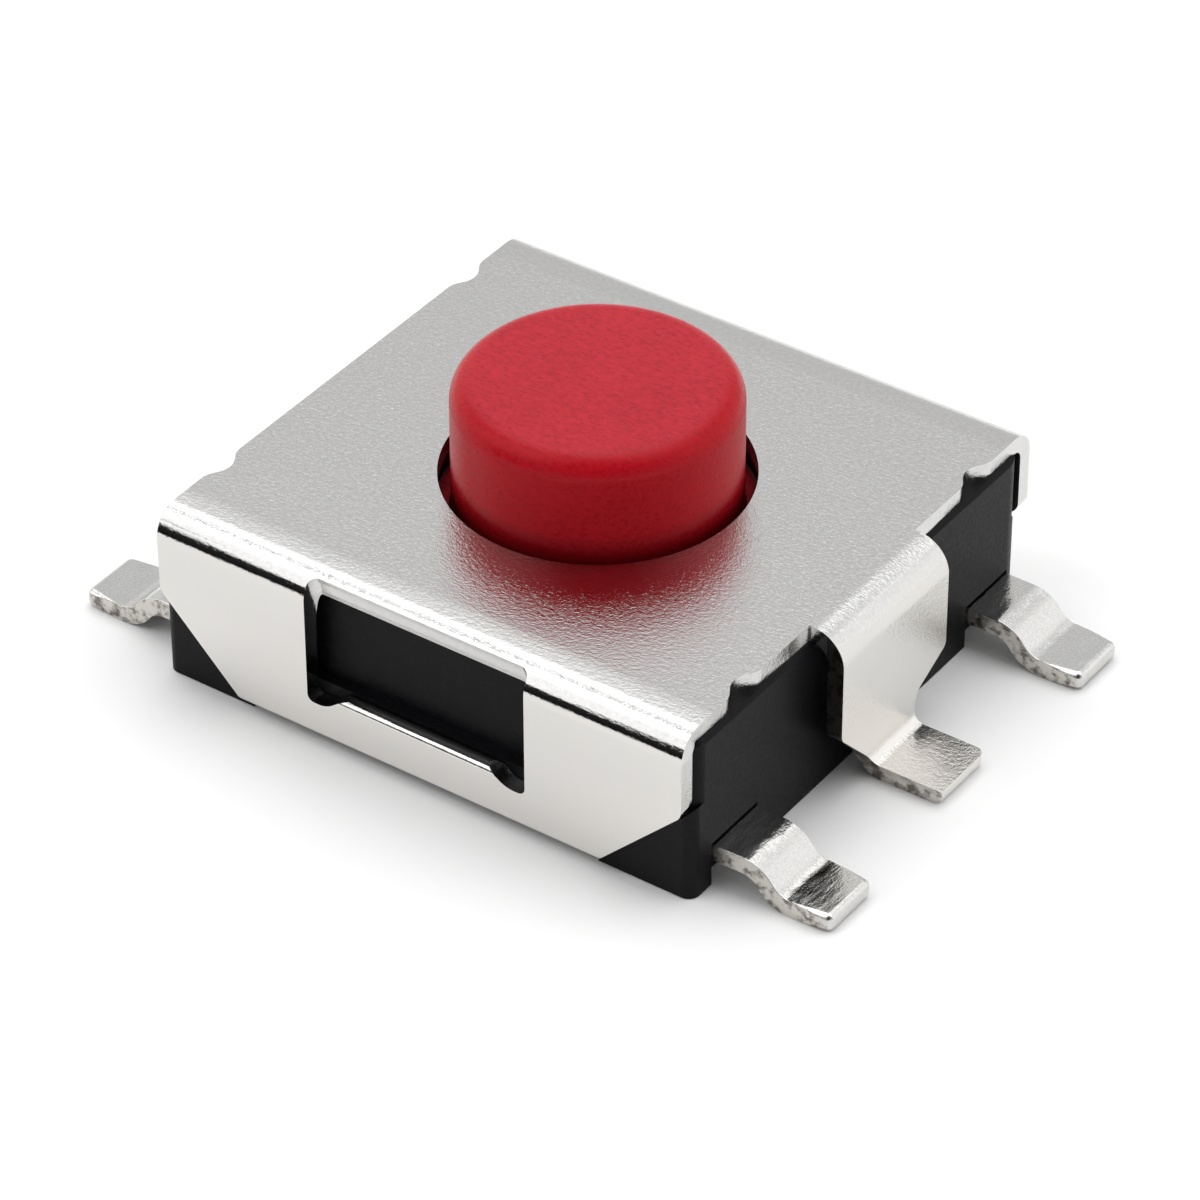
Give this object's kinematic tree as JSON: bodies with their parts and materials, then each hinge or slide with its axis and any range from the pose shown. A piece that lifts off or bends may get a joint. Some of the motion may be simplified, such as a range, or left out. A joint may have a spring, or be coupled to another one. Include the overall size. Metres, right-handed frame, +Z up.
{
  "type": "tactile push button switch",
  "caption": "Low square surface-mount tactile switch: folded metal cover with windows and a ground tab over a moulded housing, gull-wing leads and a round push button on a snap dome.",
  "frame": {"origin": "on the board plane, under the button's axis: the undersides of the five soldering feet are at Z = 0", "axes": "+X towards the side with the ground tab, along the leads; +Z up, along the button's axis, away from the board; -Y towards the flange that the picture shows"},
  "size_m": [0.009, 0.0062, 0.0031],
  "materials": {
    "housing_plastic": "matte black moulded",
    "cover_sheet": "bright rolled sheet with a fine grain",
    "button_plastic": "matte red moulded",
    "dome_sheet": "bright spring sheet",
    "terminal_plating": "bright tin plating"
  },
  "bodies": {
    "base": {"housing": "housing_plastic", "cover": "cover_sheet", "rim_terminal": "terminal_plating", "centre_terminal": "terminal_plating", "contact_dome": "dome_sheet"},
    "plunger": {"button": "button_plastic"}
  },
  "joints": [
    {"name": "button_press", "type": "slide", "parent": "base", "child": "plunger", "axis": [0, 0, -1], "range_m": [0, 0.00025], "stiffness_N_per_m": 6400, "deforming": ["contact_dome"]}
  ]
}
